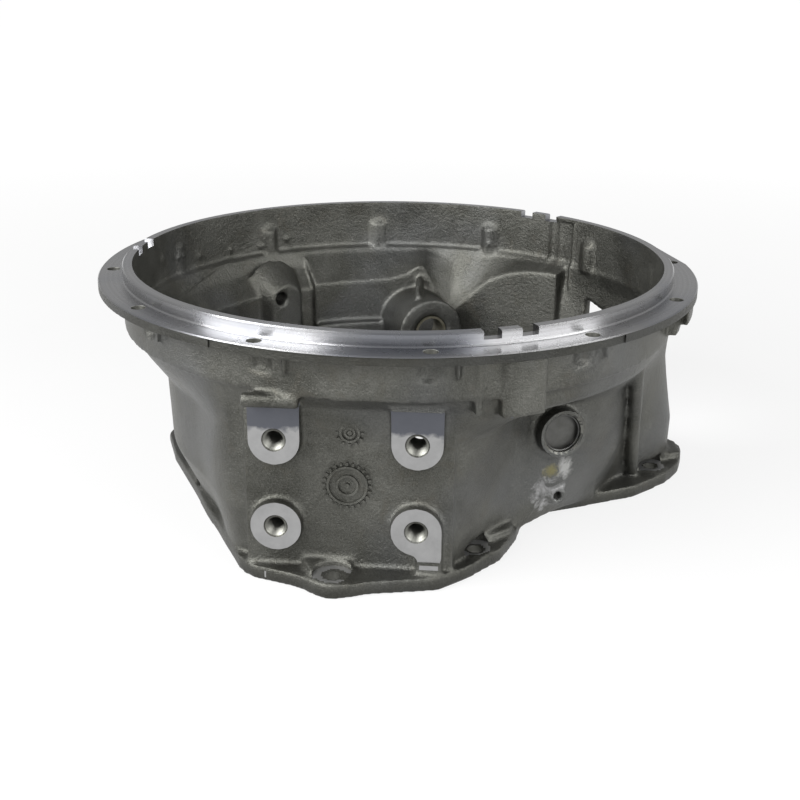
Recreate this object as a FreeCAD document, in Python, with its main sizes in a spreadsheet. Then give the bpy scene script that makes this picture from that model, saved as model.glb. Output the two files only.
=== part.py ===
"""Truck clutch housing (bellhousing): parametric FreeCAD source.

Millimetres. +Z is the crankshaft axis, pointing at the engine. Z = 0 is the gearbox
joint face, and -Y is the outward normal of the four-hole mount panel.
"""
import FreeCAD
import Part

import math
import os

import Sketcher

Vector = FreeCAD.Vector

SHEET_VALUES = (
    # engine end: SAE J617 No. 1 flange with twelve bolts
    ("flange_radius", 277.6), ("flange_face_height", 215.0), ("flange_thickness", 8.0),
    ("pilot_radius", 255.59), ("pilot_height", 11.0), ("bell_bore_radius", 246.5),
    ("bolt_circle_radius", 265.11), ("bolt_hole_radius", 5.95), ("bolt_count", 12),
    ("bolt_start_angle", 10.1), ("bolt_pocket_radius", 13.5), ("bolt_pocket_floor", 187.0),
    ("notch_depth", 6.5), ("pilot_chamfer", 2.2), ("flange_flat_distance", 273.5),
    ("bolt_bump_radius", 11.0), ("bolt_bump_circle", 251.6),
    # casting wall and gearbox joint
    ("belt_radius", 256.0), ("wall_thickness", 9.0), ("joint_thickness", 12.0),
    ("floor_thickness", 14.0), ("register_radius", 110.0), ("joint_hole_radius", 6.8),
    ("joint_lug_radius", 15.0), ("joint_lug_height", 13.5), ("joint_land_height", 19.0),
    ("spotface_radius", 17.0), ("spotface_height", 8.0),
    # four-hole mount panel
    ("mount_face_y", 234.3), ("mount_centre_x", -21.8), ("mount_centre_z", 88.95),
    ("mount_spacing_x", 115.8), ("mount_spacing_z", 76.3), ("mount_pad_radius", 21.3),
    ("mount_hole_radius", 8.65), ("mount_panel_y", 224.0),
    # release shaft: a level axis that passes beside the main axis
    ("shaft_azimuth", -65.3), ("shaft_offset", 88.9), ("shaft_height", 101.0),
    ("cap_face_distance", 183.0), ("cap_boss_radius", 22.0), ("cap_bore_radius", 17.5),
    ("cap_bore_depth", 15.0), ("cap_thickness", 3.0), ("cap_recess", 7.5),
    ("ring_recess", 4.0), ("ring_wire", 2.0),
    ("bush_outer_radius", 15.0), ("bush_inner_radius", 12.5), ("cap_bush_length", 22.0),
    ("lever_face_distance", 135.0), ("lever_boss_radius", 36.0),
    ("lever_ring_radius", 22.0), ("lever_bush_outer", 17.5), ("lever_bush_inner", 15.0),
    ("lever_bush_length", 30.0),
)

# Outer wall radius every 15 degrees from +X, at each height above the joint face.
WALL_SECTIONS = (
    (8, (232, 281, 262, 238, 222, 200, 206, 210, 213, 216, 214, 209,
         205, 197, 193, 203, 234, 224, 216, 226, 186, 177, 178, 199)),
    (55, (243, 281, 262, 242, 230, 219, 219, 216, 216, 219, 219, 219,
          219, 217, 215, 219, 240, 230, 222, 230, 193, 179, 200, 215)),
    (125, (250, 268, 260, 250, 241, 236, 226, 222, 222, 222, 222, 221,
           220, 220, 220, 223, 242, 231, 224, 231, 203, 182, 209, 226)),
    (155, (257, 266, 259, 252, 249, 246, 243, 242, 242, 242, 242, 242,
           242, 242, 242, 242, 246, 237, 230, 237, 249, 250, 248, 247)),
    (176, (253, 253, 253, 252, 252, 252, 252, 252, 252, 252, 252, 252,
           252, 252, 252, 252, 252, 251, 250, 251, 252, 252, 252, 252)),
)
INNER_HEIGHTS = (14, 60, 140, 160, 180)

# Outline of the gearbox joint face, anticlockwise from the right-hand lug.
JOINT_OUTLINE = (
    (288, 52), (292, 78), (278, 104), (240, 128), (196, 152), (150, 178), (96, 196),
    (40, 208), (-20, 214), (-84, 210), (-140, 190), (-190, 150), (-232, 104),
    (-246, 58), (-226, 4), (-190, -66), (-166, -118), (-148, -150), (-136, -176),
    (-114, -218), (-102, -230), (-59, -245), (-44, -257), (-31, -262), (-16, -257),
    (0, -250), (55, -238), (78, -216), (106, -179), (120, -140), (125, -109),
    (147, -78), (190, -56), (235, -31), (268, 5), (283, 32),
)
JOINT_HOLES = ((-31.5, -244.2), (84, -183.3), (253.6, 17.6), (232, 118), (60, 190),
               (-95, 192), (-231, 60), (-172, -66))
RAISED_LUGS = 3

# Engine bolts with a half-round boss behind them, counted from the first bolt.
BUMP_BOLTS = (1, 2, 3, 4)

# Raised blocks beside the three raised lugs, in plan.
JOINT_LANDS = (
    ((-60, -206), (-17, -206), (-16, -240), (-19, -256), (-31, -261), (-44, -256), (-58, -230)),
    ((62, -184), (64, -156), (90, -136), (118, -136), (114, -150), (97, -168), (92, -176)),
    ((228, 20), (262, 30), (288, 46), (284, 80), (228, 76)),
)

# Inside of the rear wall: angle, radius of its upright part, height where it starts to slope out.
KNEE_STATIONS = (
    (121, 205, 146), (113, 206, 146), (105, 206, 146), (97, 206, 148), (92, 208, 153),
    (88.5, 210, 162), (87, 210, 162), (83, 209, 132), (79, 209, 108), (73, 214, 130),
    (67.5, 218, 150), (62, 222, 160), (57, 225, 165), (51, 228, 167), (47, 231, 168),
)
SENSOR_ANGLE = 134.2
SENSOR_HEIGHT = 138.5
VENT_HOLE = (157, -106, 31)


def make_sheet(doc):
    sheet = doc.addObject("Spreadsheet::Sheet", "dimensions")
    for row, (alias, value) in enumerate(SHEET_VALUES, start=1):
        sheet.set("A%d" % row, alias)
        sheet.set("B%d" % row, str(value))
        sheet.setAlias("B%d" % row, alias)
    doc.recompute()
    return sheet


def polar(radius, angle, height=0.0):
    turn = math.radians(angle)
    return Vector(radius * math.cos(turn), radius * math.sin(turn), height)


def cylinder(radius, height, base=None, direction=None):
    return Part.makeCylinder(radius, height, base or Vector(0, 0, 0),
                             direction or Vector(0, 0, 1))


def tube(outer, inner, height, base=None, direction=None):
    return cylinder(outer, height, base, direction).cut(
        cylinder(inner, height, base, direction))


def section_wire(radii, height, inset=0.0):
    step = 360.0 / len(radii)
    points = [polar(radius - inset, k * step, height) for k, radius in enumerate(radii)]
    curve = Part.BSplineCurve()
    curve.interpolate(Points=points, PeriodicFlag=True)
    return Part.Wire([curve.toShape()])


def wall_solid(heights, inset):
    wires = [section_wire(radii, height, inset)
             for height, (_, radii) in zip(heights, WALL_SECTIONS)]
    return Part.makeLoft(wires, True, True)


def sector(inner, outer, start, end, low, high):
    """Block between two radii and two angles, for ribs, slots and pads."""
    mid = 0.5 * (start + end)
    edges = [
        Part.LineSegment(polar(inner, start, low), polar(outer, start, low)).toShape(),
        Part.Arc(polar(outer, start, low), polar(outer, mid, low),
                 polar(outer, end, low)).toShape(),
        Part.LineSegment(polar(outer, end, low), polar(inner, end, low)).toShape(),
        Part.Arc(polar(inner, end, low), polar(inner, mid, low),
                 polar(inner, start, low)).toShape(),
    ]
    return Part.Face(Part.Wire(edges)).extrude(Vector(0, 0, high - low))


def slab(points, low, high):
    """Prism on a closed plan outline, from one height to another."""
    corners = [Vector(x, y, low) for x, y in points]
    return Part.Face(Part.makePolygon(corners + corners[:1])).extrude(
        Vector(0, 0, high - low))


def rounded_slab(points, radius, low, high):
    """Prism like slab, with every corner of the outline rounded as far as it can be."""
    corners = [Vector(x, y, low) for x, y in points]
    arcs = []
    for k, corner in enumerate(corners):
        before = (corners[k - 1] - corner)
        after = (corners[(k + 1) % len(corners)] - corner)
        half = 0.5 * before.getAngle(after)
        reach = min(radius / math.tan(half), 0.45 * before.Length, 0.45 * after.Length)
        start = corner + before.normalize() * reach
        end = corner + after.normalize() * reach
        bisector = (before + after).normalize()
        fillet = reach * math.tan(half)
        middle = corner + bisector * (fillet / math.sin(half) - fillet)
        arcs.append((start, middle, end))
    edges = []
    for k, (start, middle, end) in enumerate(arcs):
        edges.append(Part.LineSegment(arcs[k - 1][2], start).toShape())
        edges.append(Part.Arc(start, middle, end).toShape())
    return Part.Face(Part.Wire(edges)).extrude(Vector(0, 0, high - low))


class ShaftAxis:
    """Release shaft line; place(d) is the point d beyond its foot on the main axis."""

    def __init__(self, d):
        self.out = polar(1.0, d.shaft_azimuth)
        self.side = polar(d.shaft_offset, d.shaft_azimuth + 90.0, d.shaft_height)

    def place(self, distance):
        return self.side + self.out * distance

    def tube(self, outer, inner, near, far):
        low, high = min(near, far), max(near, far)
        return tube(outer, inner, high - low, self.place(low), self.out)

    def rod(self, radius, near, far):
        low, high = min(near, far), max(near, far)
        return cylinder(radius, high - low, self.place(low), self.out)


def leaning_rod(radius, top, bottom):
    return cylinder(radius, (top - bottom).Length, bottom, top - bottom)


def engine_flange(d):
    bottom = d.flange_face_height - d.flange_thickness
    top = d.flange_face_height + d.pilot_height
    disc = cylinder(d.flange_radius, d.flange_thickness, Vector(0, 0, bottom))
    pilot = cylinder(d.pilot_radius, top - bottom - d.pilot_chamfer, Vector(0, 0, bottom))
    lead_in = Part.makeCone(d.pilot_radius, d.pilot_radius - 0.55 * d.pilot_chamfer,
                            d.pilot_chamfer, Vector(0, 0, top - d.pilot_chamfer))
    belt = cylinder(d.belt_radius, bottom - 170.0, Vector(0, 0, 170.0))
    ear = sector(246, d.flange_radius - 2.5, -19.0, 1.0, 189.0, bottom)
    ear = ear.fuse(sector(246, 266, -17.0, -1.0, 178.0, 190.0))
    return [disc, pilot, lead_in, belt, ear]


def flange_flat(d):
    """Straight trim across the right-hand edge of the engine flange."""
    flat = Part.makeBox(20.0, 160.0, 60.0, Vector(d.flange_flat_distance, -80.0, 195.0))
    flat.rotate(Vector(0, 0, 0), Vector(0, 0, 1), 17.0)
    return flat


def joint_plate(d):
    """Gearbox flange: plate on its outline, with raised lugs at the visible bolts."""
    solids = [rounded_slab(JOINT_OUTLINE, 26.0, 0.0, d.joint_thickness)]
    for x, y in JOINT_HOLES[:RAISED_LUGS]:
        solids.append(cylinder(d.joint_lug_radius, d.joint_lug_height, Vector(x, y, 0)))
    for x, y in JOINT_HOLES[RAISED_LUGS:]:
        solids.append(cylinder(d.joint_lug_radius, d.joint_thickness, Vector(x, y, 0)))
    return solids + [rounded_slab(land, 8.0, 4.0, d.joint_land_height)
                     for land in JOINT_LANDS]


def mount_positions(d):
    for side in (-0.5, 0.5):
        for level in (-0.5, 0.5):
            yield (d.mount_centre_x + side * d.mount_spacing_x,
                   d.mount_centre_z + level * d.mount_spacing_z, side, level)


def mount_panel(d):
    """Flat panel with four pads: round below, straight-topped under the belt."""
    back = -200.0
    solids = [slab(((-106, back), (-106, -d.mount_panel_y), (66, -d.mount_panel_y),
                    (66, back)), 6.0, 160.0)]
    depth = d.mount_face_y + back
    for x, z, side, level in mount_positions(d):
        base = Vector(x, -d.mount_face_y, z)
        solids.append(cylinder(d.mount_pad_radius, depth, base, Vector(0, 1, 0)))
        if level > 0:
            solids.append(Part.makeBox(2 * d.mount_pad_radius, depth, 38.0,
                                       base + Vector(-d.mount_pad_radius, 0, 0)))
        elif side > 0:
            solids.append(Part.makeBox(d.mount_pad_radius, depth, z - 4.0,
                                       Vector(x, -d.mount_face_y, 4.0)))
    return solids


def belt_details(d):
    """Rectangular pad and small webs under the flange, and the bolt-head bosses."""
    bottom = d.flange_face_height - d.flange_thickness
    solids = [sector(240, 259.5, -66.6, -58.2, 154.0, bottom - 6.0),
              sector(240, 258.0, -71.5, -70.3, 158.0, bottom)]
    for k in range(int(d.bolt_count)):
        angle = d.bolt_start_angle + k * 360.0 / d.bolt_count
        centre = polar(d.bolt_circle_radius, angle, 172.0)
        boss = cylinder(d.bolt_pocket_radius + 7.0, bottom - 172.0, centre)
        solids.append(boss.common(cylinder(d.belt_radius, 60.0, Vector(0, 0, 160.0))))
        solids.append(sector(250, 262, angle + 4.6, angle + 5.4, 190.0, bottom))
    return solids


def knee_block():
    """Rear wall inside the bell: upright below its stations, sloping out above them."""
    wires = []
    for angle, radius, height in KNEE_STATIONS:
        corners = [polar(radius, angle, 6.0), polar(262.0, angle, 6.0),
                   polar(262.0, angle, 176.0), polar(243.5, angle, 175.0),
                   polar(radius, angle, height)]
        wires.append(Part.makePolygon(corners + corners[:1]))
    return Part.makeLoft(wires, True, True)


def tombstone_wire(distance, half_width, shoulder):
    """Upright outline with a round top, in a plane across +X."""
    low = Vector(distance, -half_width, 6.0)
    right = Vector(distance, -half_width, shoulder)
    left = Vector(distance, half_width, shoulder)
    edges = [
        Part.LineSegment(low, right).toShape(),
        Part.Arc(right, Vector(distance, 0, shoulder + half_width), left).toShape(),
        Part.LineSegment(left, Vector(distance, half_width, 6.0)).toShape(),
        Part.LineSegment(Vector(distance, half_width, 6.0), low).toShape(),
    ]
    return Part.Wire(edges)


def sensor_boss():
    """Tapered boss of the speed sensor, inside the left rear wall."""
    boss = Part.makeLoft([tombstone_wire(196.0, 18.5, 134.0), tombstone_wire(228.0, 33.0, 142.0)],
                         True, True)
    boss.rotate(Vector(0, 0, 0), Vector(0, 0, 1), SENSOR_ANGLE - 2.0)
    return boss


def bolt_bumps(d):
    """Half-round bosses inside the bell, behind the four bolts opposite the mount panel."""
    for k in BUMP_BOLTS:
        angle = d.bolt_start_angle + k * 360.0 / d.bolt_count
        yield cylinder(d.bolt_bump_radius, 29.0, polar(d.bolt_bump_circle, angle, 174.0))


def inner_details(d, axis):
    """Bosses, rib and ledge inside the bell, kept within the outer wall."""
    lever = -d.lever_face_distance
    boss = axis.rod(d.lever_boss_radius, lever, -215.0)
    rib = slab(((5, 168), (11, 168), (11, 236), (5, 236)), 101.0, 150.0)
    cap_side = axis.rod(24.0, d.cap_face_distance - 10.0, 128.0)
    ledge = sector(198, 232, 99.0, 121.0, 6.0, 101.0)
    hub = cylinder(d.register_radius + 16.0, 34.0)
    pockets = [cylinder(d.joint_lug_radius + 6.0, 46.0, Vector(x, y, 0))
               for x, y in JOINT_HOLES]
    webs = [sector(112, 224, a - 1.4, a + 1.4, 6.0, 44.0) for a in (-142, 172, 140, 62, 24)]
    return [boss, rib, cap_side, sensor_boss(), ledge, hub, knee_block()] + webs + pockets


def outer_details(d, axis):
    """Bosses outside the wall for the release shaft, a pad and stiffening ridges."""
    face = d.cap_face_distance
    cap_boss = axis.rod(d.cap_boss_radius, face, 140.0)
    cap_root = axis.rod(28.0, face - 13.0, 140.0)
    lever_boss = axis.rod(30.0, -190.0, -228.0)
    vent_boss = cylinder(9.5, 30.0, Vector(*VENT_HOLE), axis.out * -1)
    ridge = leaning_rod(4.0, Vector(186, -97, 142), Vector(190, -55, 10))
    ridge_two = leaning_rod(6.0, Vector(222, -84, 158), Vector(233, -1, 10))
    sensor = cylinder(19.0, 32.0, polar(216.0, SENSOR_ANGLE, SENSOR_HEIGHT),
                      polar(1.0, SENSOR_ANGLE))
    return [cap_boss, cap_root, lever_boss, vent_boss, ridge, ridge_two, sensor]


def bolt_cuts(d):
    bottom = d.flange_face_height - d.flange_thickness
    cuts = []
    for k in range(int(d.bolt_count)):
        angle = d.bolt_start_angle + k * 360.0 / d.bolt_count
        centre = polar(d.bolt_circle_radius, angle)
        cuts.append(cylinder(d.bolt_hole_radius, 60.0, centre + Vector(0, 0, 190.0)))
        cuts.append(cylinder(d.bolt_pocket_radius, bottom - d.bolt_pocket_floor,
                             centre + Vector(0, 0, d.bolt_pocket_floor)))
    return cuts


def notch_cuts(d):
    """Three pairs of notches in the pilot ring, a third of a turn apart."""
    top = d.flange_face_height + d.pilot_height
    cuts = []
    for k in range(3):
        for start, end in ((-70.4, -67.1), (-63.2, -60.0)):
            turn = 121.5 * k
            cuts.append(sector(240, 262, start + turn, end + turn,
                               top - d.notch_depth, top + 2.0))
    return cuts


def joint_cuts(d):
    cuts = [cylinder(d.register_radius, 60.0, Vector(0, 0, -5))]
    for x, y in JOINT_HOLES[RAISED_LUGS:]:
        cuts.append(cylinder(d.joint_hole_radius, 60.0, Vector(x, y, -5)))
    for x, y in JOINT_HOLES[:RAISED_LUGS]:
        cuts.append(cylinder(d.joint_hole_radius, d.joint_lug_height + 6.0, Vector(x, y, -5)))
        cuts.append(cylinder(d.spotface_radius, d.spotface_height,
                             Vector(x, y, d.joint_lug_height)))
    for x, y in JOINT_HOLES[RAISED_LUGS:]:
        cuts.append(cylinder(d.joint_lug_radius - 1.0, 26.0, Vector(x, y, d.joint_thickness)))
    return cuts


def mount_cuts(d):
    cuts = []
    inward = Vector(0, 1, 0)
    for x, z, _, _ in mount_positions(d):
        base = Vector(x, -d.mount_face_y, z)
        cuts.append(cylinder(d.mount_hole_radius, 45.0, base, inward))
        cuts.append(Part.makeCone(d.mount_hole_radius + 1.2, d.mount_hole_radius, 1.2,
                                  base, inward))
    cuts.append(cylinder(7.0, 90.0, polar(180.0, SENSOR_ANGLE, SENSOR_HEIGHT),
                         polar(1.0, SENSOR_ANGLE)))
    return cuts


def shaft_cuts(d, axis):
    face = d.cap_face_distance
    lever = -d.lever_face_distance
    return [
        axis.rod(d.cap_bore_radius, face + 2.0, face - d.cap_bore_depth),
        axis.rod(d.bush_outer_radius, face, 120.0),
        axis.rod(d.lever_bush_outer, lever + 1.0, -240.0),
        axis.rod(d.lever_ring_radius, lever + 1.0, lever - 2.0),
        cylinder(4.0, 26.0, Vector(*VENT_HOLE), axis.out * -1),
    ]


def wall_window():
    """Inspection window through the right rear wall, with a sloping top edge."""
    block = sector(205, 300, 17.0, 39.5, 40.0, 146.0)
    slope = slab(((150, 60), (330, 60), (330, 230), (150, 230)), 0.0, 40.0)
    slope.rotate(Vector(190, 158, 0), Vector(0.78, 0.62, 0), 20.0)
    slope.translate(Vector(0, 0, 146.0))
    return block.cut(slope)


def clutch_housing(doc, d, axis):
    """The casting: lofted wall, joint plate and flange, then the machined cuts."""
    heights = [height for height, _ in WALL_SECTIONS]
    outer = wall_solid(heights, 0.0)
    outer = outer.multiFuse(engine_flange(d) + mount_panel(d) + outer_details(d, axis)
                            + joint_plate(d))
    inner = wall_solid(INNER_HEIGHTS, d.wall_thickness)
    bell_bore = cylinder(d.bell_bore_radius, 60.0, Vector(0, 0, 177.0))
    cavity = inner.fuse(bell_bore)
    envelope = wall_solid(heights, 1.5).fuse(
        cylinder(d.belt_radius - 1.5, 33.0, Vector(0, 0, 173.0)))
    parts = inner_details(d, axis)
    fill = parts[0].multiFuse(parts[1:]).common(envelope)
    casting = outer.cut(cavity).fuse(fill)
    casting = casting.multiFuse(belt_details(d) + list(bolt_bumps(d)))
    cuts = bolt_cuts(d) + notch_cuts(d) + joint_cuts(d) + mount_cuts(d)
    cuts += shaft_cuts(d, axis) + [wall_window(), flange_flat(d)]
    casting = casting.cut(cuts[0].multiFuse(cuts[1:]))
    body = max(casting.Solids, key=lambda solid: solid.Volume)
    return add_shape(doc, "clutch_housing", body)


def add_shape(doc, label, shape):
    feature = doc.addObject("Part::Feature", label)
    feature.Label = label
    feature.Shape = shape
    feature.Placement = FreeCAD.Placement()
    return feature


def shaft_placement(axis, distance):
    turn = FreeCAD.Rotation(Vector(0, 0, 1), axis.out)
    return FreeCAD.Placement(axis.place(distance), turn)


def round_body(doc, label, outer_name, inner_name, length_name, placement):
    """Plain ring or disc as a PartDesign pad, sized from the sheet."""
    body = doc.addObject("PartDesign::Body", label)
    body.Label = label
    plane = [o for o in body.Origin.OriginFeatures if o.Role == "XY_Plane"][0]
    sketch = body.newObject("Sketcher::SketchObject", label + "_sketch")
    sketch.AttachmentSupport = [(plane, "")]
    sketch.MapMode = "FlatFace"
    for index, name in enumerate((outer_name, inner_name)):
        if not name:
            continue
        sketch.addGeometry(Part.Circle(Vector(0, 0, 0), Vector(0, 0, 1), 20.0 - 5 * index))
        sketch.addConstraint(Sketcher.Constraint("Coincident", index, 3, -1, 1))
        sketch.addConstraint(Sketcher.Constraint("Radius", index, 20.0 - 5 * index))
        sketch.setExpression("Constraints[%d]" % (2 * index + 1), "dimensions." + name)
    pad = body.newObject("PartDesign::Pad", label + "_pad")
    pad.Profile = sketch
    pad.setExpression("Length", "dimensions." + length_name)
    body.Placement = placement
    return body


def snap_ring(doc, d, axis):
    """Round-wire retaining ring with an open gap, sprung into the cap bore."""
    wire = 0.5 * d.ring_wire
    centre_radius = d.cap_bore_radius - wire
    circle = Part.Wire(Part.makeCircle(wire, Vector(centre_radius, 0, 0), Vector(0, 1, 0)))
    ring = Part.Face(circle).revolve(Vector(0, 0, 0), Vector(0, 0, 1), 338.0)
    feature = add_shape(doc, "cap_snap_ring", ring)
    feature.Placement = shaft_placement(axis, d.cap_face_distance - d.ring_recess)
    return feature


class Dimensions:
    def __init__(self, sheet):
        for alias, _ in SHEET_VALUES:
            setattr(self, alias, float(sheet.get(alias)))


def export(parts):
    os.makedirs("parts", exist_ok=True)
    for part in parts:
        bad = [state for state in part.State if state in ("Invalid", "Error")]
        if bad or part.Shape.isNull() or not part.Shape.isValid():
            raise RuntimeError("bad shape: " + part.Label)
        part.Shape.exportStep("parts/%s.step" % part.Label)
        box = part.Shape.BoundBox
        print("%-24s %9.0f mm3  solids %d  x %.1f..%.1f y %.1f..%.1f z %.1f..%.1f" % (
            part.Label, part.Shape.Volume, len(part.Shape.Solids),
            box.XMin, box.XMax, box.YMin, box.YMax, box.ZMin, box.ZMax))


def main():
    doc = FreeCAD.newDocument("clutch_housing_model")
    sheet = make_sheet(doc)
    d = Dimensions(sheet)
    axis = ShaftAxis(d)
    cap_at = d.cap_face_distance - d.cap_recess - d.cap_thickness
    cap_bush_at = d.cap_face_distance - d.cap_bore_depth - d.cap_bush_length
    lever_bush_at = -d.lever_face_distance - 2.0 - d.lever_bush_length
    parts = [
        clutch_housing(doc, d, axis),
        round_body(doc, "release_shaft_cap", "cap_bore_radius", None, "cap_thickness",
                   shaft_placement(axis, cap_at)),
        snap_ring(doc, d, axis),
        round_body(doc, "cap_side_bush", "bush_outer_radius", "bush_inner_radius",
                   "cap_bush_length", shaft_placement(axis, cap_bush_at)),
        round_body(doc, "lever_side_bush", "lever_bush_outer", "lever_bush_inner",
                   "lever_bush_length", shaft_placement(axis, lever_bush_at)),
    ]
    doc.recompute()
    export(parts)


main()
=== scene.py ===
import math

import bmesh
import bpy
import numpy as np
from mathutils import Matrix, Vector, noise


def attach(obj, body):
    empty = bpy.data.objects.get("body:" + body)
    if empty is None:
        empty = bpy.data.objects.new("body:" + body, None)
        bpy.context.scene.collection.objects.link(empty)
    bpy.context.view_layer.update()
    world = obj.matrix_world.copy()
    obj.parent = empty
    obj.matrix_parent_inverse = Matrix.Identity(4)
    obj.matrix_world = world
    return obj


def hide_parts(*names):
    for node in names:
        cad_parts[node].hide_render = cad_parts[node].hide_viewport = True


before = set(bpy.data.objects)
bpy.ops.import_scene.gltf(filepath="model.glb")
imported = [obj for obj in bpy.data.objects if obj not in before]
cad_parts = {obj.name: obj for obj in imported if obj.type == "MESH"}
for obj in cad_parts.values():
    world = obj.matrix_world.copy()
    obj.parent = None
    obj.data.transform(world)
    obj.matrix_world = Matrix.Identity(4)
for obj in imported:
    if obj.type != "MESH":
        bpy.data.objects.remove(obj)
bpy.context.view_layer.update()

MM = 0.001
VOXEL, SMOOTH_STEPS = ((2.0, 7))

# Sizes shared with the CAD model, in millimetres and degrees. Only the flange radius is
# 0.05 under the CAD's, which keeps the finished casting inside the CAD box.
FLANGE_R, FLANGE_Z = 277.55, 215.0
PILOT_R, PILOT_Z, BORE_R = 255.59, 226.0, 246.5
BOLT_R, BOLT_HOLE, BOLT_START, BOLT_COUNT = 265.11, 5.95, 10.1, 12
FLAT_X, FLAT_TURN = 273.5, 17.0
NOTCHES, NOTCH_TURN, NOTCH_FLOOR = ((-70.4, -67.1), (-63.2, -60.0)), 121.5, 219.5
MOUNT_Y, PANEL_Y, PAD_R = -234.3, -224.0, 21.3
PADS = [(x, z) for x in (-79.7, 36.1) for z in (50.8, 127.1)]
JOINT_HOLES = [(-31.5, -244.2), (84, -183.3), (253.6, 17.6), (232, 118), (60, 190),
               (-95, 192), (-231, 60), (-172, -66)]
RAISED_LUGS = JOINT_HOLES[:3]
JOINT_HOLE_R, SPOTFACE_R, SPOTFACE_Z, SPOTFACE_TALL = 6.8, 17.0, 13.5, 8.0
AZ = math.radians(-65.3)
SHAFT_OUT = Vector((math.cos(AZ), math.sin(AZ), 0))
SHAFT_FOOT = Vector((-88.9 * math.sin(AZ), 88.9 * math.cos(AZ), 101.0))
CAP_FACE_REACH = 183
CAP_FACE = SHAFT_FOOT + SHAFT_OUT * CAP_FACE_REACH
SENSOR_TURN, SENSOR_Z = math.radians(134.2), 138.5

# Sizes of the machining that only this model has: the lowest turned height, the part of the
# flange edge that stays cast, the top of the milled pads, and a height between the pad rows.
TURN_LOW = 206.0
CAST_EDGE = (-117.2, -44.6)
PAD_TOP = 156.5
UPPER_ROW = 100.0

UP = (0, 0, 1)
INWARD = (0, 1, 0)


# ---------------------------------------------------------------- mesh helpers

def new_object(name, bm, material=None):
    """Object made from a bmesh and linked to the scene."""
    bmesh.ops.recalc_face_normals(bm, faces=bm.faces)
    mesh = bpy.data.meshes.new(name)
    bm.to_mesh(mesh)
    bm.free()
    obj = bpy.data.objects.new(name, mesh)
    bpy.context.scene.collection.objects.link(obj)
    if material:
        mesh.materials.append(material)
    return obj


def add_lathe(bm, profile, segments=256, matrix=None):
    """Closed ring or disc from (radius, height) points in millimetres."""
    matrix = matrix or Matrix.Identity(4)
    rings = []
    for radius, height in profile:
        if radius < 1e-6:
            rings.append([bm.verts.new(matrix @ Vector((0, 0, height * MM)))])
            continue
        ring = []
        for k in range(segments):
            a = 2 * math.pi * k / segments
            ring.append(bm.verts.new(matrix @ Vector((
                radius * MM * math.cos(a), radius * MM * math.sin(a), height * MM))))
        rings.append(ring)
    closed = profile[0][0] > 1e-6
    pairs = list(zip(rings, rings[1:])) + ([(rings[-1], rings[0])] if closed else [])
    for low, high in pairs:
        for k in range(segments):
            n = (k + 1) % segments
            if len(low) == 1:
                bm.faces.new((low[0], high[n], high[k]))
            elif len(high) == 1:
                bm.faces.new((low[k], low[n], high[0]))
            else:
                bm.faces.new((low[k], low[n], high[n], high[k]))


def aim(point, direction):
    """Matrix that puts local Z along a direction, at a point given in millimetres."""
    turn = Vector(direction).to_track_quat("Z", "Y").to_matrix().to_4x4()
    return Matrix.Translation(Vector(point) * MM) @ turn


def add_rod(bm, radius, length, point, direction, segments=48, chamfer=0.0):
    """Cylinder from a point along a direction; a chamfer widens its near end."""
    profile = [(0, 0), (radius, 0), (radius, length), (0, length)]
    if chamfer:
        profile = [(0, 0), (radius + chamfer, 0), (radius, chamfer), (radius, length), (0, length)]
    add_lathe(bm, profile, segments, aim(point, direction))


def add_prism(bm, points, low, high, matrix=None):
    """Solid over an outline in millimetres, between two heights."""
    matrix = matrix or Matrix.Identity(4)
    rings = [[bm.verts.new(matrix @ Vector((x * MM, y * MM, z * MM))) for x, y in points]
             for z in (low, high)]
    bm.faces.new(rings[0][::-1])
    bm.faces.new(rings[1])
    n = len(points)
    for k in range(n):
        j = (k + 1) % n
        bm.faces.new((rings[0][k], rings[0][j], rings[1][j], rings[1][k]))


def bolt_centres(height):
    """Centres of the flange bolt holes, all at one height."""
    for k in range(BOLT_COUNT):
        a = math.radians(BOLT_START + 360 / BOLT_COUNT * k)
        yield BOLT_R * math.cos(a), BOLT_R * math.sin(a), height


def sector_points(inner, outer, start, end, steps):
    """Outline of a ring sector between two angles in degrees."""
    angles = [math.radians(start + (end - start) * k / steps) for k in range(steps + 1)]
    return ([(outer * math.cos(a), outer * math.sin(a)) for a in angles] +
            [(inner * math.cos(a), inner * math.sin(a)) for a in reversed(angles)])


def bake_modifiers(obj):
    """Put the result of the modifiers in place of the mesh."""
    graph = bpy.context.evaluated_depsgraph_get()
    mesh = bpy.data.meshes.new_from_object(obj.evaluated_get(graph))
    obj.modifiers.clear()
    obj.data = mesh


def cut(obj, cutter, operation="DIFFERENCE"):
    """Apply one boolean and remove its cutter; a lost casting is an error."""
    mod = obj.modifiers.new("cut", "BOOLEAN")
    mod.operation = operation
    mod.solver = "MANIFOLD"
    mod.object = cutter
    bake_modifiers(obj)
    if len(obj.data.polygons) < 100:
        raise RuntimeError("the boolean lost the casting at " + cutter.name)
    bpy.data.objects.remove(cutter)


# ---------------------------------------------------------------- materials

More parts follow.
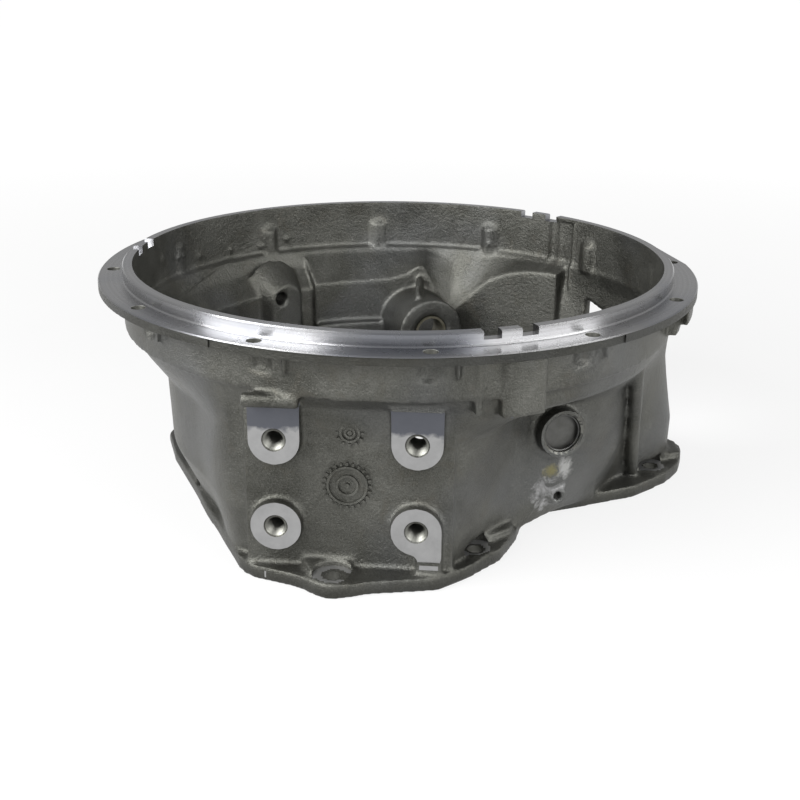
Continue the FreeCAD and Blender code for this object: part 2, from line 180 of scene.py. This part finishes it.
class Nodes:
    """Small helper for writing shader trees."""

    def __init__(self, name):
        self.material = bpy.data.materials.new(name)
        self.material.use_nodes = True
        self.tree = self.material.node_tree
        self.bsdf = self.tree.nodes["Principled BSDF"]

    def add(self, kind, **settings):
        node = self.tree.nodes.new(kind)
        for key, value in settings.items():
            setattr(node, key, value)
        return node

    def put(self, node, socket, value):
        if hasattr(value, "is_output"):
            self.tree.links.new(value, node.inputs[socket])
        else:
            node.inputs[socket].default_value = value

    def math(self, operation, a, b):
        node = self.add("ShaderNodeMath", operation=operation)
        self.put(node, 0, a)
        self.put(node, 1, b)
        return node.outputs[0]

    def noise(self, vector, scale, detail=3.0, roughness=0.5, distortion=0.0):
        node = self.add("ShaderNodeTexNoise")
        self.put(node, "Vector", vector)
        for key, value in (("Scale", scale), ("Detail", detail), ("Roughness", roughness),
                           ("Distortion", distortion)):
            node.inputs[key].default_value = value
        return node.outputs["Fac"]

    def span(self, value, low, high, out_low=0.0, out_high=1.0):
        node = self.add("ShaderNodeMapRange")
        for key, number in (("From Min", low), ("From Max", high), ("To Min", out_low),
                            ("To Max", out_high)):
            node.inputs[key].default_value = number
        self.put(node, "Value", value)
        return node.outputs[0]

    def mix(self, fac, a, b):
        node = self.add("ShaderNodeMix", data_type="RGBA")
        self.put(node, 0, fac)
        self.put(node, 6, a)
        self.put(node, 7, b)
        return node.outputs[2]

    def bump(self, height, strength, distance, normal=None):
        node = self.add("ShaderNodeBump")
        node.inputs["Strength"].default_value = strength
        node.inputs["Distance"].default_value = distance
        self.put(node, "Height", height)
        if normal is not None:
            self.put(node, "Normal", normal)
        return node.outputs[0]

    def position(self):
        return self.add("ShaderNodeTexCoord").outputs["Object"]

    def radius(self, position):
        flat = self.add("ShaderNodeVectorMath", operation="MULTIPLY")
        self.put(flat, 0, position)
        flat.inputs[1].default_value = (1, 1, 0)
        size = self.add("ShaderNodeVectorMath", operation="LENGTH")
        self.put(size, 0, flat.outputs[0])
        return size.outputs["Value"]


def rgb(r, g, b):
    return (r, g, b, 1.0)


def blob(n, position, centre, size, edge=0.35):
    """Soft-edged patch round a point: 1 inside, 0 outside, with a broken outline."""
    offset = n.add("ShaderNodeVectorMath", operation="SUBTRACT")
    n.put(offset, 0, position)
    offset.inputs[1].default_value = [v * MM for v in centre]
    scaled = n.add("ShaderNodeVectorMath", operation="DIVIDE")
    n.put(scaled, 0, offset.outputs[0])
    scaled.inputs[1].default_value = [v * MM for v in size]
    length = n.add("ShaderNodeVectorMath", operation="LENGTH")
    n.put(length, 0, scaled.outputs[0])
    ragged = n.noise(position, 160.0, 4.0, 0.7, 0.5)
    reach = n.math("ADD", length.outputs["Value"], n.span(ragged, 0.3, 0.7, -0.55, 0.55))
    return n.span(reach, 1.0 - edge, 1.0 + edge, 1.0, 0.0)


def cast_material():
    """Sand-cast aluminium: fine grain, cloudy oxide, handling marks near the shaft boss; darker
    towards the bottom, with painted shade on the flange edge.
    """
    light, dark = rgb(0.125, 0.125, 0.113), rgb(0.050, 0.050, 0.043)
    n = Nodes("cast_aluminium")
    p = n.position()
    grain = n.noise(p, 800.0, 4.0, 0.7)
    pits = n.noise(p, 300.0, 3.0, 0.6)
    patch = n.noise(p, 14.0, 5.0, 0.62, 0.8)
    stain = n.noise(p, 42.0, 4.0, 0.6, 1.0)
    tone = n.math("ADD", n.math("MULTIPLY", grain, 0.5), n.math("MULTIPLY", patch, 0.5))
    colour = n.mix(n.span(tone, 0.38, 0.62), dark, light)
    colour = n.mix(n.span(stain, 0.56, 0.72, 0.0, 0.35), colour, rgb(0.085, 0.078, 0.062))
    cool = n.noise(p, 9.0, 2.0, 0.5, 0.4)
    colour = n.mix(n.span(cool, 0.52, 0.68, 0.0, 0.30), colour, rgb(0.135, 0.140, 0.150))
    height = n.add("ShaderNodeSeparateXYZ")
    n.put(height, 0, p)
    level = height.outputs[2]
    # Darker towards the bottom of the casting, and painted shade on the cast outer edge of the
    # flange, both mixed in as a near-black colour.
    foot = n.span(level, 0.004, 0.016, 0.55, 0.0)
    edge = n.math("MULTIPLY", n.span(n.radius(p), 0.266, 0.270), n.span(level, 0.203, 0.206))
    dark_foot_and_edge_shade = n.math("MAXIMUM", foot, n.math("MULTIPLY", edge, 0.65))
    colour = n.mix(dark_foot_and_edge_shade, colour, rgb(0.022, 0.022, 0.019))
    scuff = blob(n, p, (148, -113, 39), (17, 14, 17))
    colour = n.mix(n.math("MULTIPLY", scuff, n.span(stain, 0.40, 0.55)), colour,
                   rgb(0.34, 0.34, 0.34))
    white = blob(n, p, (161, -108, 60), (5, 8, 9), 0.5)
    colour = n.mix(n.math("MULTIPLY", white, 0.8), colour, rgb(0.42, 0.42, 0.41))
    yellow = blob(n, p, (149, -114, 59), (6, 8, 5), 0.5)
    colour = n.mix(n.math("MULTIPLY", yellow, 0.75), colour, rgb(0.20, 0.18, 0.08))
    n.put(n.bsdf, "Base Color", colour)
    n.bsdf.inputs["Metallic"].default_value = 0.9
    n.put(n.bsdf, "Roughness", n.span(n.math("ADD", grain, patch), 0.75, 1.25, 0.34, 0.52))
    fine = n.bump(grain, 0.75, 0.0007)
    n.put(n.bsdf, "Normal", n.bump(pits, 0.45, 0.0014, fine))
    return n.material


def turned_material():
    """Face and rim turned on a lathe: fine rings about the main axis."""
    n = Nodes("turned_aluminium")
    p = n.position()
    radius = n.radius(p)
    height = n.add("ShaderNodeSeparateXYZ")
    n.put(height, 0, p)
    along = n.math("ADD", radius, n.math("MULTIPLY", height.outputs[2], 1.37))
    groove = n.add("ShaderNodeCombineXYZ")
    n.put(groove, 0, along)
    rings = n.noise(groove.outputs[0], 2600.0, 2.0, 0.6)
    bands = n.noise(groove.outputs[0], 420.0, 3.0, 0.6)
    smear = n.noise(p, 30.0, 4.0, 0.6, 0.8)
    colour = n.mix(n.span(bands, 0.35, 0.65), rgb(0.42, 0.42, 0.43), rgb(0.29, 0.29, 0.29))
    tarnish = n.noise(p, 7.0, 2.0, 0.5)
    colour = n.mix(n.span(tarnish, 0.50, 0.66, 0.0, 0.5), colour, rgb(0.20, 0.215, 0.26))
    n.put(n.bsdf, "Base Color", colour)
    n.bsdf.inputs["Metallic"].default_value = 1.0
    n.bsdf.inputs["Anisotropic"].default_value = 0.8
    n.bsdf.inputs["Anisotropic Rotation"].default_value = 0.25
    tangent = n.add("ShaderNodeTangent", direction_type="RADIAL", axis="Z")
    n.put(n.bsdf, "Tangent", tangent.outputs[0])
    n.put(n.bsdf, "Roughness", n.span(smear, 0.3, 0.7, 0.25, 0.30))
    n.put(n.bsdf, "Normal", n.bump(rings, 0.05, 0.0001))
    return n.material


def milled_material():
    """Mount pads and spot faces: flat, matt, with faint cutter marks; painted shade on the top of
    the upper pads.
    """
    n = Nodes("milled_aluminium")
    p = n.position()
    marks = n.add("ShaderNodeTexWave", wave_type="RINGS", rings_direction="SPHERICAL")
    n.put(marks, "Vector", p)
    marks.inputs["Scale"].default_value = 340.0
    marks.inputs["Distortion"].default_value = 2.0
    cloud = n.noise(p, 60.0, 4.0, 0.6)
    colour = n.mix(n.span(cloud, 0.35, 0.68), rgb(0.33, 0.33, 0.33), rgb(0.28, 0.28, 0.28))
    # Painted shade: the pad faces above about 136 mm, under the belt overhang, get a much darker
    # colour with a ragged lower edge.
    height = n.add("ShaderNodeSeparateXYZ")
    n.put(height, 0, p)
    ragged = n.math("ADD", height.outputs[2], n.span(cloud, 0.3, 0.7, -0.004, 0.004))
    upper_pad_shade = n.span(ragged, 0.134, 0.138, 0.0, 0.85)
    colour = n.mix(upper_pad_shade, colour, rgb(0.060, 0.065, 0.082))
    n.put(n.bsdf, "Base Color", colour)
    n.bsdf.inputs["Metallic"].default_value = 0.9
    n.put(n.bsdf, "Roughness", n.span(cloud, 0.3, 0.7, 0.38, 0.50))
    n.put(n.bsdf, "Normal", n.bump(marks.outputs["Fac"], 0.12, 0.0001))
    return n.material


def bore_material():
    """Drilled and threaded holes: darker, with bright crests."""
    n = Nodes("drilled_aluminium")
    p = n.position()
    cloud = n.noise(p, 240.0, 3.0, 0.6)
    n.put(n.bsdf, "Base Color", n.mix(cloud, rgb(0.15, 0.15, 0.135), rgb(0.24, 0.24, 0.22)))
    n.bsdf.inputs["Metallic"].default_value = 0.95
    n.put(n.bsdf, "Roughness", n.span(cloud, 0.3, 0.7, 0.40, 0.52))
    return n.material


def steel_material(name, colour_a, colour_b, rough):
    """Metal of the small fittings: two clouded tones and a fine grain."""
    n = Nodes(name)
    p = n.position()
    cloud = n.noise(p, 120.0, 4.0, 0.6)
    fine = n.noise(p, 1500.0, 2.0, 0.5)
    n.put(n.bsdf, "Base Color", n.mix(n.span(cloud, 0.35, 0.65), colour_a, colour_b))
    n.bsdf.inputs["Metallic"].default_value = 0.85
    n.put(n.bsdf, "Roughness", n.span(fine, 0.3, 0.7, rough - 0.06, rough + 0.08))
    n.put(n.bsdf, "Normal", n.bump(fine, 0.2, 0.0002))
    return n.material


def floor_material():
    """Plain pale floor that glows a little, more so away from the part."""
    n = Nodes("pale_floor")
    p = n.position()
    cloud = n.noise(p, 3.0)
    n.put(n.bsdf, "Base Color", n.mix(cloud, rgb(0.115, 0.115, 0.115), rgb(0.125, 0.125, 0.125)))
    n.bsdf.inputs["Roughness"].default_value = 0.95
    n.bsdf.inputs["Specular IOR Level"].default_value = 0.0
    n.bsdf.inputs["Emission Color"].default_value = rgb(1.0, 1.0, 1.0)
    distance = n.add("ShaderNodeVectorMath", operation="LENGTH")
    n.put(distance, 0, p)
    n.put(n.bsdf, "Emission Strength", n.span(distance.outputs["Value"], 0.7, 2.2, 0.80, 0.95))
    return n.material


CAST = cast_material()
TURNED = turned_material()
MILLED = milled_material()
BORED = bore_material()


# ---------------------------------------------------------------- casting

def machining_stock():
    """Metal left on the casting where it is machined later, and plugs in its holes."""
    bm = bmesh.new()
    add_lathe(bm, [(BORE_R + 2.0, TURN_LOW), (FLANGE_R + 2.0, 206.4), (FLANGE_R + 2.0, 218),
                   (PILOT_R + 2.4, 218), (PILOT_R + 2.4, 229), (BORE_R, 229), (BORE_R, 216)])
    for centre in bolt_centres(205):
        add_rod(bm, 7.5, 12, centre, UP)
    for x, z in PADS:
        add_pad_stock(bm, x, z)
    for x, y in JOINT_HOLES:
        add_rod(bm, 8.0, 11.0, (x, y, 0.5), UP)
    add_rod(bm, 20.0, 40, SHAFT_FOOT + SHAFT_OUT * (CAP_FACE_REACH - 41), SHAFT_OUT)
    add_rod(bm, 22.4, 2.5, SHAFT_FOOT + SHAFT_OUT * (CAP_FACE_REACH - 1), SHAFT_OUT)
    return bm


def add_pad_stock(bm, x, z):
    """A mount pad 2.5 mm proud: upper ones square above, the lower right one square below."""
    front, back = MOUNT_Y - 2.5, -212
    add_rod(bm, PAD_R, 26, (x, front, z), INWARD)
    add_rod(bm, 10.5, 36, (x, MOUNT_Y - 1.0, z), INWARD)
    if z > UPPER_ROW:
        add_prism(bm, [(x - PAD_R, front), (x + PAD_R, front), (x + PAD_R, back),
                       (x - PAD_R, back)], z, 158)
        if x < 0:
            add_rod(bm, 6.2, 46.0, (x - 23.0, -245.0, 164.8), (1, 0, 0), 24)
    elif x > 0:
        add_prism(bm, [(x, front), (x + PAD_R, front), (x + PAD_R, back), (x, back)], 26, z)


def add_dial(bm, centre, radius, ticks):
    """Plain cast date dial on the mount panel: two rings, a boss and tick marks."""
    x, z = centre
    tall, ring_width, half_tick = 3.0, 1.9, 0.9
    place = aim((x, PANEL_Y + 0.8, z), (0, -1, 0))
    for outer in (radius, 0.55 * radius):
        inner = outer - ring_width
        add_lathe(bm, [(inner, 0), (outer, 0), (outer, tall), (inner, tall)], 64, place)
    add_lathe(bm, [(0, 0), (2.0, 0), (2.0, tall), (0, tall)], 24, place)
    near, far = radius + 0.8, radius + 3.4
    outline = [(near, -half_tick), (far, -half_tick), (far, half_tick), (near, half_tick)]
    for k in range(ticks):
        turn = Matrix.Rotation(2 * math.pi * k / ticks, 4, "Z")
        add_prism(bm, outline, 0, tall - 0.2, place @ turn)


def cast_body():
    """The CAD casting with cast fillets: remeshed, smoothed and slightly uneven."""
    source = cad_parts["clutch_housing"]
    bm = machining_stock()
    bm.from_mesh(source.data)
    obj = new_object("housing_casting", bm)
    remesh = obj.modifiers.new("voxel", "REMESH")
    remesh.mode = "VOXEL"
    remesh.voxel_size = VOXEL * MM
    smooth = obj.modifiers.new("fillet", "SMOOTH")
    smooth.factor = 0.5
    smooth.iterations = SMOOTH_STEPS
    bake_modifiers(obj)
    roughen(obj)
    return obj


def roughen(obj):
    """Pattern-maker's unevenness, a fraction of a millimetre."""
    mesh = obj.data
    count = len(mesh.vertices)
    co = np.empty(count * 3, np.float32)
    no = np.empty(count * 3, np.float32)
    mesh.vertices.foreach_get("co", co)
    mesh.vertices.foreach_get("normal", no)
    co = co.reshape(-1, 3)
    no = no.reshape(-1, 3)
    push = np.array([0.35 * noise.noise(Vector(c) * 22.0) + 0.05 * noise.noise(Vector(c) * 90.0)
                     for c in co], np.float32)
    co += no * push[:, None] * MM
    flow_marks(co)
    mesh.vertices.foreach_set("co", co.ravel())
    mesh.update()


def bump_shape(value, centre, width):
    """Smooth hump of height 1 at the centre."""
    return np.exp(-((value - centre) / width) ** 2)


def flow_marks(co):
    """Core-joint flash, cast beads and a shallow channel on the inside of the bell wall."""
    radius = np.hypot(co[:, 0], co[:, 1]) / MM
    angle = np.degrees(np.arctan2(co[:, 1], co[:, 0]))
    height = co[:, 2] / MM
    inside = (radius > 232.0) & (radius < 250.0) & (height > 152.0) & (height < 222.0)
    channel = 1.0 / (1.0 + np.exp(-(angle - 45.4) * 4.0)) / (1.0 + np.exp((angle - 52.4) * 4.0))
    push = 1.6 * channel
    for line, width, rise in ((45.2, 0.35, 1.6), (52.6, 0.3, 1.2), (49.6, 0.8, 0.7)):
        push -= rise * bump_shape(angle, line, width)
    push += 0.8 * (bump_shape(angle, 48.2, 1.4) * bump_shape(height, 178.0, 10.0))
    flash_height = 178.0 - 0.72 * (angle - 142.5)
    push -= 1.5 * bump_shape(height, flash_height, 1.6) * bump_shape(angle, 155.0, 12.0)
    for spot, level in ((168.2, 201.3), (161.3, 196.7), (159.1, 196.8), (152.6, 190.0),
                        (141.9, 188.1), (125.0, 190.5), (132.6, 186.3), (69.8, 186.0)):
        push -= 1.4 * bump_shape(angle, spot, 0.7) * bump_shape(height, level, 2.4)
    scale = np.where(inside, 1.0 + push / np.maximum(radius, 1.0), 1.0)
    co[:, 0] *= scale
    co[:, 1] *= scale


def machine_faces(obj):
    """Turned flange, rim and outside diameter, with small chamfers, then slots and bolt holes."""
    clear_r, clear_z = FLANGE_R + 14, 240
    bm = bmesh.new()
    add_lathe(bm, [(PILOT_R, clear_z), (PILOT_R, FLANGE_Z + 1.2), (PILOT_R + 1.0, FLANGE_Z),
                   (FLANGE_R - 0.9, FLANGE_Z), (FLANGE_R, FLANGE_Z - 0.9),
                   (FLANGE_R, TURN_LOW), (clear_r, TURN_LOW), (clear_r, clear_z)], 360)
    cut(obj, new_object("face_tool", bm))
    bm = bmesh.new()
    add_lathe(bm, [(BORE_R - 12, PILOT_Z), (PILOT_R - 1.2, PILOT_Z), (PILOT_R + 0.6, 224.2),
                   (PILOT_R + 8, 224.2), (PILOT_R + 8, 242), (BORE_R - 12, 242)], 360)
    cut(obj, new_object("rim_tool", bm))
    bm = bmesh.new()
    add_prism(bm, sector_points(FLANGE_R - 1.3, FLANGE_R + 16, *CAST_EDGE, 40), 200, 213.9)
    cut(obj, new_object("edge_tool", bm))
    bm = bmesh.new()
    turn = Matrix.Rotation(math.radians(FLAT_TURN), 4, "Z")
    add_prism(bm, [(FLAT_X, -90), (FLAT_X + 30, -90), (FLAT_X + 30, 90), (FLAT_X, 90)],
              195, clear_z, turn)
    cut(obj, new_object("flat_tool", bm))
    bm = bmesh.new()
    for k in range(3):
        for start, end in NOTCHES:
            turn = NOTCH_TURN * k
            add_prism(bm, sector_points(238, 266, start + turn, end + turn, 6), NOTCH_FLOOR, 232)
    cut(obj, new_object("notch_tool", bm))
    bm = bmesh.new()
    for centre in bolt_centres(FLANGE_Z + 0.4):
        add_rod(bm, BOLT_HOLE, 30, centre, (0, 0, -1), 40, 0.7)
    cut(obj, new_object("bolt_tool", bm))


def machine_pads(obj):
    """Milled pad faces, then a tapped hole in each."""
    reach = PAD_R + 3.2
    bm = bmesh.new()
    for x, z in PADS:
        low, high = z - 24.0, z + 24.0
        if z > UPPER_ROW:
            high = PAD_TOP
        elif x > 0:
            low = 24.0
        add_prism(bm, [(x - reach, MOUNT_Y), (x + reach, MOUNT_Y), (x + reach, MOUNT_Y - 22),
                       (x - reach, MOUNT_Y - 22)], low, high)
    cut(obj, new_object("pad_tool", bm))
    bm = bmesh.new()
    for x, z in PADS:
        add_lathe(bm, thread_profile(), 48, aim((x, MOUNT_Y, z), INWARD))
    cut(obj, new_object("thread_tool", bm))


def thread_profile():
    """Section of a tapped hole: countersink, then one groove per pitch."""
    pitch, minor, major, length = 2.0, 7.35, 8.65, 34.0
    profile = [(0, -3), (10.0, -3), (10.0, 0), (9.0, 1.2)]
    depth = 1.2
    while depth < length:
        profile += [(minor, depth + 0.55 * pitch), (major, depth + pitch)]
        depth += pitch
    return profile + [(minor, depth + 1.0), (0, depth + 5.0)]


def cast_dials(obj):
    """Two raised date dials on the mount panel, one small and one large."""
    bm = bmesh.new()
    add_dial(bm, (-19.2, 132.5), 8.5, 12)
    add_dial(bm, (-21.5, 86.0), 17.0, 24)
    cut(obj, new_object("dials", bm), "UNION")


def machine_joint(obj):
    """Spot faces on the raised lugs, the flat joint face and its bolt holes."""
    bm = bmesh.new()
    for x, y in RAISED_LUGS:
        add_rod(bm, SPOTFACE_R, SPOTFACE_TALL, (x, y, SPOTFACE_Z), UP, 64)
    cut(obj, new_object("spotface_tool", bm))
    bm = bmesh.new()
    add_prism(bm, [(-320, -320), (320, -320), (320, 320), (-320, 320)], -20, 0.02)
    cut(obj, new_object("joint_tool", bm))
    bm = bmesh.new()
    for x, y in JOINT_HOLES:
        length = 20 if (x, y) in RAISED_LUGS else 40
        add_rod(bm, JOINT_HOLE_R, length, (x, y, -5), UP, 40)
    cut(obj, new_object("joint_hole_tool", bm))


def machine_shaft_bores(obj):
    """Face of the cap boss, then its bore with the groove for the wire ring."""
    bm = bmesh.new()
    add_lathe(bm, [(0, 0), (40, 0), (40, 12), (0, 12)], 64, aim(CAP_FACE, SHAFT_OUT))
    cut(obj, new_object("boss_tool", bm))
    bm = bmesh.new()
    add_lathe(bm, [(0, -4), (19.2, -4), (19.2, 0), (17.5, 1.6), (17.5, 3.2), (18.4, 3.6),
                   (18.4, 5.2), (17.5, 5.6), (17.5, 15), (15, 15), (15, 66), (0, 66)], 72,
              aim(CAP_FACE, -SHAFT_OUT))
    cut(obj, new_object("bore_tool", bm))


def near_axis(centres, point, direction, reach, depth):
    """Faces within reach of an axis and within depth along it, in millimetres."""
    offset = centres - np.array(point)
    along = offset @ np.array(direction, float)
    across = np.linalg.norm(offset - along[:, None] * np.array(direction, float), axis=1)
    return (across < reach) & (np.abs(along) < depth)


def turned_faces(centre, normal):
    """Flange face, its outside diameter, and the rim but not the bore wall."""
    x, y, z = centre.T
    radius = np.hypot(x, y)
    angle = np.degrees(np.arctan2(y, x))
    cast_edge = (angle > CAST_EDGE[0]) & (angle < CAST_EDGE[1]) & (z < 213.8)
    cast_edge = (cast_edge | (z < 210.5)) & (radius > 270)
    flange = (z > TURN_LOW) & (radius > FLANGE_R - 1.0) & ~cast_edge
    flange |= (z > FLANGE_Z - 1.0) & (radius > PILOT_R - 1.5)
    outward = (normal[:, 0] * x + normal[:, 1] * y) / np.maximum(radius, 1.0)
    rim = (z > NOTCH_FLOOR - 0.1) & (radius > BORE_R - 0.2)
    rim &= (outward > -0.4) | (radius > BORE_R + 2.0)
    return (flange & (normal[:, 2] > -0.5)) | rim


def milled_faces(centre, normal):
    """Mount pads, gearbox joint face and spot faces."""
    x, y, z = centre.T
    milled = (np.abs(y - MOUNT_Y) < 0.05) & (z < 160)
    milled |= (z < 0.1) & (normal[:, 2] < -0.9)
    for px, py in RAISED_LUGS:
        milled |= near_axis(centre, (px, py, SPOTFACE_Z), UP, SPOTFACE_R + 0.1, 0.1)
    return milled


def bored_faces(centre):
    """Insides of the shaft bore, the tapped holes, the bolt holes and the sensor hole."""
    bored = near_axis(centre, CAP_FACE - SHAFT_OUT * 30, SHAFT_OUT, 18.6, 29.99)
    for px, pz in PADS:
        bored |= near_axis(centre, (px, MOUNT_Y + 20, pz), INWARD, 9.2, 19.98)
    for px, py in JOINT_HOLES:
        bored |= near_axis(centre, (px, py, 6.0), UP, JOINT_HOLE_R + 0.1, 7.48)
    for spot in bolt_centres(210.0):
        bored |= near_axis(centre, spot, UP, 6.8, 4.98)
    out = (math.cos(SENSOR_TURN), math.sin(SENSOR_TURN), 0)
    return bored | near_axis(centre, (215 * out[0], 215 * out[1], SENSOR_Z), out, 6.6, 30.0)


def assign_finishes(obj):
    """Give every machined face its finish, from where it lies; the rest stays cast."""
    mesh = obj.data
    count = len(mesh.polygons)
    centre = np.empty(count * 3)
    normal = np.empty(count * 3)
    mesh.polygons.foreach_get("center", centre)
    mesh.polygons.foreach_get("normal", normal)
    centre = centre.reshape(-1, 3) / MM
    normal = normal.reshape(-1, 3)
    finish = np.zeros(count, np.int32)
    masks = (turned_faces(centre, normal), milled_faces(centre, normal), bored_faces(centre))
    for slot, mask in enumerate(masks, start=1):
        finish[mask] = slot
    mesh.materials.clear()
    for material in (CAST, TURNED, MILLED, BORED):
        mesh.materials.append(material)
    mesh.polygons.foreach_set("material_index", finish)


def build_casting():
    """The finished casting, which takes the place of the CAD's node."""
    obj = cast_body()
    machine_faces(obj)
    machine_pads(obj)
    cast_dials(obj)
    machine_joint(obj)
    machine_shaft_bores(obj)
    assign_finishes(obj)
    smooth_shade(obj)
    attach(obj, "root")
    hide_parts("clutch_housing")


def smooth_shade(obj):
    obj.data.shade_smooth()
    obj.data.set_sharp_from_angle(angle=math.radians(38))


def finish_fittings():
    """Materials of the pieces that stay as the CAD made them."""
    for node, name, light, dark, rough in (
            ("release_shaft_cap", "plain_cap", (0.10, 0.10, 0.095), (0.075, 0.075, 0.07), 0.45),
            ("cap_snap_ring", "dark_spring", (0.06, 0.06, 0.06), (0.10, 0.10, 0.095), 0.35),
            ("cap_side_bush", "bush_a", (0.30, 0.27, 0.20), (0.22, 0.20, 0.15), 0.35),
            ("lever_side_bush", "bush_b", (0.30, 0.28, 0.22), (0.2, 0.19, 0.14), 0.35)):
        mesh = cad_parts[node].data
        mesh.materials.clear()
        mesh.materials.append(steel_material(name, rgb(*light), rgb(*dark), rough))


# ---------------------------------------------------------------- stage

def soft_box(name, azimuth, elevation, distance, target, width, height, radiance):
    """Area light by direction and brightness, so its size can change on its own."""
    a, e = math.radians(azimuth), math.radians(elevation)
    out = Vector((math.cos(a) * math.cos(e), math.sin(a) * math.cos(e), math.sin(e)))
    lamp = bpy.data.lights.new(name, "AREA")
    lamp.energy = math.pi * width * height * radiance
    lamp.shape = "RECTANGLE"
    lamp.size = width
    lamp.size_y = height
    obj = bpy.data.objects.new(name, lamp)
    obj.location = Vector(target) + out * distance
    obj.rotation_mode = "QUATERNION"
    obj.rotation_quaternion = (-out).to_track_quat("-Z", "Y")
    bpy.context.scene.collection.objects.link(obj)


def make_stage():
    """Floor, even white room light and two soft boxes in front, left and right."""
    bm = bmesh.new()
    bmesh.ops.create_grid(bm, x_segments=8, y_segments=8, size=80.0)
    floor = new_object("floor", bm, floor_material())
    floor.location.z = -0.0005
    world = bpy.data.worlds.new("studio")
    world.use_nodes = True
    background = world.node_tree.nodes["Background"]
    background.inputs["Color"].default_value = rgb(1.0, 1.0, 1.0)
    background.inputs["Strength"].default_value = 0.45
    bpy.context.scene.world = world
    centre = (0, 0, 0.12)
    soft_box("left_box", -139.0, 32.0, 1.6, centre, 1.30, 0.90, 14.0)
    soft_box("right_box", -31.0, 26.0, 1.6, centre, 1.50, 0.90, 6.2)


def make_camera():
    """The photograph's viewing angle: 4.5 degrees right of the front, 20 degrees down."""
    azimuth, elevation, roll = math.radians(4.5), math.radians(20.172), math.radians(0.696)
    back = Vector((math.sin(azimuth) * math.cos(elevation),
                   -math.cos(azimuth) * math.cos(elevation), math.sin(elevation)))
    right = Vector((math.cos(azimuth), math.sin(azimuth), 0))
    up = back.cross(right)
    camera = bpy.data.cameras.new("camera")
    camera.sensor_width = 36.0
    camera.lens = 36.0 * 1256.306 / 800.0
    obj = bpy.data.objects.new("camera", camera)
    obj.location = (Vector((0, 0, 215)) + back * 1190.07 + right * 3.216 - up * 127.48) * MM
    turn = Matrix((right, up, back)).transposed()
    obj.rotation_mode = "QUATERNION"
    obj.rotation_quaternion = (turn @ Matrix.Rotation(roll, 3, "Z")).to_quaternion()
    bpy.context.scene.collection.objects.link(obj)
    bpy.context.scene.camera = obj


build_casting()
finish_fittings()
make_stage()
make_camera()
bpy.context.scene.view_settings.view_transform = "Standard"
